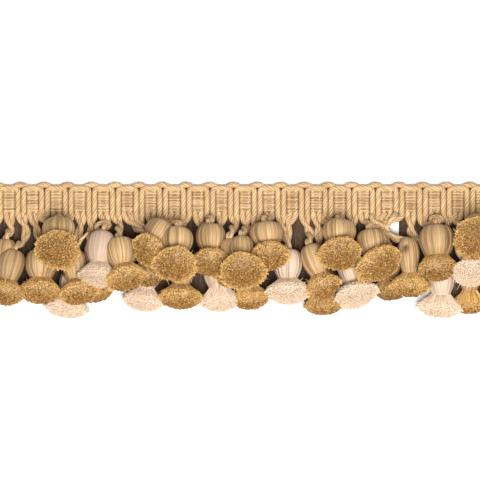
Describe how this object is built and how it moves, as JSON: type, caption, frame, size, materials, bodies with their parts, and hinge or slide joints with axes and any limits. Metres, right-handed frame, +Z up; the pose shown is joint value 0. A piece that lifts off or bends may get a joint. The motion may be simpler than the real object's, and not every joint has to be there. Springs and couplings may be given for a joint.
{
  "type": "tassel fringe trim",
  "caption": "Cut length of tassel fringe trim: a scalloped corded heading with paired cord strands that carry a heap of onion-shaped tassels with cut tufts.",
  "frame": {"origin": "on the flat back of the heading, at half its length and half its height, on the surface that the trim lies on", "axes": "+X along the trim's length, +Y across it from the tassels towards the scalloped edge, +Z up from the surface out of the trim's face"},
  "size_m": [0.2463, 0.0606, 0.03],
  "materials": {
    "heading_yarn": "twisted silky yarn, honey tan",
    "tan_yarn": "fine silky yarn, honey tan",
    "cream_yarn": "fine silky yarn, pinkish cream"
  },
  "bodies": {
    "root": {"heading": "heading_yarn", "hangers": "heading_yarn", "tassel_01": "cream_yarn", "tassel_02": "tan_yarn", "tassel_03": "tan_yarn", "tassel_04": "tan_yarn", "tassel_05": "cream_yarn", "tassel_06": "tan_yarn", "tassel_07": "tan_yarn", "tassel_08": "tan_yarn", "tassel_09": "cream_yarn", "tassel_11": "tan_yarn", "tassel_12": "tan_yarn", "tassel_13": "cream_yarn", "tassel_14": "tan_yarn", "tassel_15": "tan_yarn", "tassel_16": "tan_yarn", "tassel_18": "tan_yarn", "tassel_20": "cream_yarn", "tassel_21": "tan_yarn", "tassel_22": "tan_yarn", "tassel_23": "tan_yarn", "tassel_24": "tan_yarn", "tassel_25": "cream_yarn", "tassel_27": "tan_yarn", "tassel_28": "tan_yarn", "tassel_30": "tan_yarn", "tassel_31": "cream_yarn", "tassel_32": "tan_yarn", "tassel_34": "tan_yarn", "tassel_36": "tan_yarn", "tassel_38": "tan_yarn", "tassel_39": "cream_yarn", "tassel_40": "cream_yarn", "tassel_41": "tan_yarn", "tassel_42": "tan_yarn", "tassel_43": "tan_yarn", "tassel_44": "tan_yarn"}
  },
  "joints": []
}
